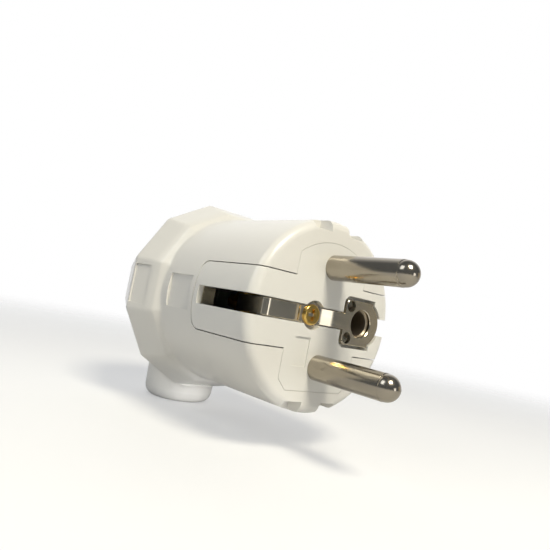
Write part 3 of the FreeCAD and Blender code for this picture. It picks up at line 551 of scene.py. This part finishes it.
# Cover screw. A turned pan head with a yellow plate and a pressed cross recess;
# it runs through the eye of the strip and both posts into the captive nut.
shank_rad, shank_end = 1.5, -26.4
head_rad, head_low, head_side, head_round = 1.95, -0.9, -0.7, 0.35
head_bend = np.radians(np.linspace(0, 90, 8))[1:]
head_arc = np.stack([head_side + head_round * np.sin(head_bend),
                     head_rad - head_round + head_round * np.cos(head_bend)], 1)
screw_line = np.concatenate([[(shank_end, shank_rad), (head_low, shank_rad), (head_low, head_rad),
                              (head_side, head_rad)], head_arc])
screw = turned("cover_screw_head", screw_line, (0, screw_y, 0), 0)
arm_thin, arm_long, recess_top, recess_deep, recess_taper = 0.40, 1.2, -0.2, 1.3, 0.25
square = np.array([(-1, -1), (1, -1), (1, 1), (-1, 1)])
recess = []
for across, up in ((arm_thin, arm_long), (arm_long, arm_thin)):
    mouth_ring = np.insert(square * (across, up), 0, recess_top, axis=1)
    floor_ring = mouth_ring * (1, recess_taper, recess_taper) - (recess_deep, 0, 0)
    recess_rings = np.stack([floor_ring, mouth_ring]) + (0, screw_y, 0)
    recess.append(solid_of_rings("recess_cut", recess_rings))
carved(screw, recess)
brass = plated("yellow_brass", (0.86, 0.60, 0.19, 1), (0.70, 0.45, 0.11, 1), gloss=0.16)
finished(screw, brass, ["cover_screw"])

# Inner fixings: terminal and clamp screws of zinc-plated steel, the brass
# captive nut and the white cord clamp. They are screwed in out of sight inside
# the housing and keep their CAD meshes.
steel = plated("zinc_steel", (0.62, 0.63, 0.64, 1), (0.52, 0.53, 0.55, 1), gloss=0.28)
for node, finish in {"terminal_screws": steel, "clamp_screws": steel, "captive_nut": brass,
                     "cord_clamp": insert_white}.items():
    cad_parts[node].data.materials[0] = finish.material

# Studio: a pale round floor and a white backdrop, which the camera sees paler
# than they light the part, a warm soft light above in front, three weak ones
# from the sides and the front, a narrow lamp on the boss, and the camera.
floor_rad, floor_steps, fade_at, fade_soft = 1.0, 96, 0.26, 0.16
floor_turn = np.linspace(0, 2 * np.pi, floor_steps, endpoint=False)
floor_mesh = bpy.data.meshes.new("studio_floor")
floor_edge = np.stack([floor_rad * np.cos(floor_turn), floor_rad * np.sin(floor_turn),
                       0 * floor_turn + cad_box[0][2]], 1)
floor_mesh.from_pydata(floor_edge.tolist(), [], [list(range(floor_steps))])
studio_floor = bpy.data.objects.new("studio_floor", floor_mesh)
bpy.context.collection.objects.link(studio_floor)
pale = Finish("pale_floor", Roughness=0.7)
cloud_mm = 60.0
pale.feed(Base_Color=pale.blend(pale.noise(cloud_mm), (0.64, 0.64, 0.64, 1), (0.62, 0.62, 0.62, 1)))
away = pale.node("ShaderNodeVectorMath", {"operation": "LENGTH"}, {0: pale.place}, out="Value")
shown = pale.node("ShaderNodeLightPath", out="Is Camera Ray")
glow = pale.blend(shown, (0.0, 0.0, 0.0, 1), (0.32, 0.32, 0.32, 1))
pale.feed(Alpha=away.below(fade_at, fade_soft), Emission_Strength=1.0, Emission_Color=glow)
floor_mesh.materials.append(pale.material)

dim, white = (0.15, 0.16, 0.17, 1), (1.0, 1.0, 1.0, 1)
backdrop_way, backdrop_edge, backdrop_soft = (-0.77, 0.64, 0.0), 0.52, 0.26
world = bpy.data.worlds.new("studio")
bpy.context.scene.world = world
world.use_nodes = True
room = Graph(world.node_tree)
looking = room.node("ShaderNodeTexCoord", out="Generated")
toward = room.node("ShaderNodeVectorMath", {"operation": "DOT_PRODUCT"},
                   {0: looking, 1: backdrop_way}, out="Value")
backdrop = 1.0 - toward.below(backdrop_edge, backdrop_soft)
seen = room.node("ShaderNodeLightPath", out="Is Camera Ray")
room.join(world.node_tree.nodes["Background"].inputs["Color"],
          room.blend(seen, room.blend(backdrop, dim, white), white))


def hung(name, lamp, place, aim):
    """Hang a lamp at a place in metres, turned to a point."""
    holder = bpy.data.objects.new(name, lamp)
    bpy.context.collection.objects.link(holder)
    holder.location = place
    way = Vector(aim) - Vector(place)
    holder.rotation_euler = way.to_track_quat("-Z", "Y").to_euler()


def soft_box(name, place, aim, size, power, colour):
    """Square area light at a place in metres, turned to a point."""
    lamp = bpy.data.lights.new(name, "AREA")
    lamp.shape, lamp.size, lamp.energy, lamp.color = "SQUARE", size, power, colour
    hung(name, lamp, place, aim)


soft_box("key_light", (0.21, -0.06, 0.275), aim=(-0.01, 0, 0),
         size=0.11, power=1.15, colour=(1.0, 0.94, 0.78))
soft_box("side_light", (-0.06, -0.32, 0.26), aim=(-0.02, 0, 0),
         size=0.2, power=0.33, colour=(0.92, 0.96, 1.0))
soft_box("front_light", (0.40, 0.10, 0.0), aim=(0, 0, 0),
         size=0.12, power=0.11, colour=(1.0, 0.98, 0.95))
soft_box("warm_light", (0.22, 0.42, 0.02), aim=(0, 0.01, 0),
         size=0.18, power=0.045, colour=(1.0, 0.80, 0.45))
low_lamp = bpy.data.lights.new("boss_light", "SPOT")
low_lamp.energy, low_lamp.spot_size, low_lamp.spot_blend = 3.2, math.radians(3.4), 0.8
low_lamp.shadow_soft_size = 0.006
hung("boss_light", low_lamp, (0.30, -0.09, -0.0205), aim=(boss_x * MM, 0.001, -0.0245))

view = bpy.data.cameras.new("photo_camera")
view.sensor_fit = "HORIZONTAL"
view.sensor_width = 36.0
view.lens = 35.69
view.clip_start = 0.005
camera = bpy.data.objects.new("photo_camera", view)
bpy.context.collection.objects.link(camera)
camera.location = (0.07308, -0.07265, -0.00072)
camera.rotation_euler = [math.radians(a) for a in (93.884, -10.613, 50.500)]
bpy.context.scene.camera = camera
bpy.context.scene.view_settings.view_transform = "Standard"
